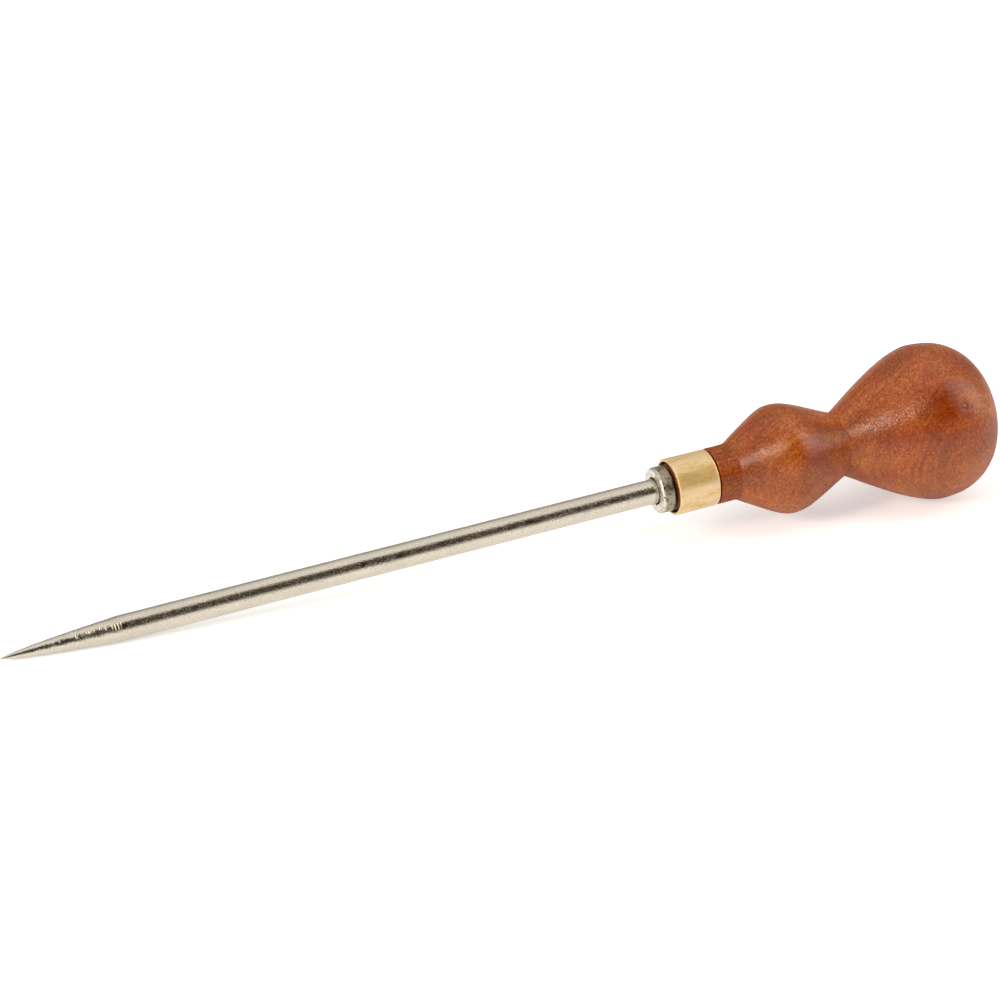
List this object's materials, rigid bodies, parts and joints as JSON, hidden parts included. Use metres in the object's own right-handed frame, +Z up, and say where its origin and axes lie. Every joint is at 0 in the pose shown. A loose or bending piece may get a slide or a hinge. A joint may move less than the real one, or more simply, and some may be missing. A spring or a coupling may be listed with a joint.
{
  "type": "scratch awl",
  "caption": "Scratch awl: round steel blade with a needle point, steel collar, brass ferrule and a turned wooden handle with a small bulb and a large palm bulb.",
  "frame": {"origin": "middle of the lying awl's footprint, on the surface that it lies on", "axes": "+Z up; +X along the awl's length from its point to its butt, seen from above; +Y across it. The awl lies on its palm bulb and on the flank of its point, so its own axis rises 4.44 degrees towards +X"},
  "size_m": [0.2544, 0.0388, 0.0388],
  "materials": {
    "blade_steel": "bright nickel-coloured polish with fine grinding marks",
    "collar_steel": "bright but scuffed, with a rough turned face",
    "ferrule_brass": "satin brass with fine lengthwise marks",
    "handle_wood": "reddish-brown hardwood under satin varnish"
  },
  "bodies": {
    "root": {"blade": "blade_steel", "bolster_collar": "collar_steel", "ferrule": "ferrule_brass", "handle": "handle_wood"}
  },
  "joints": []
}
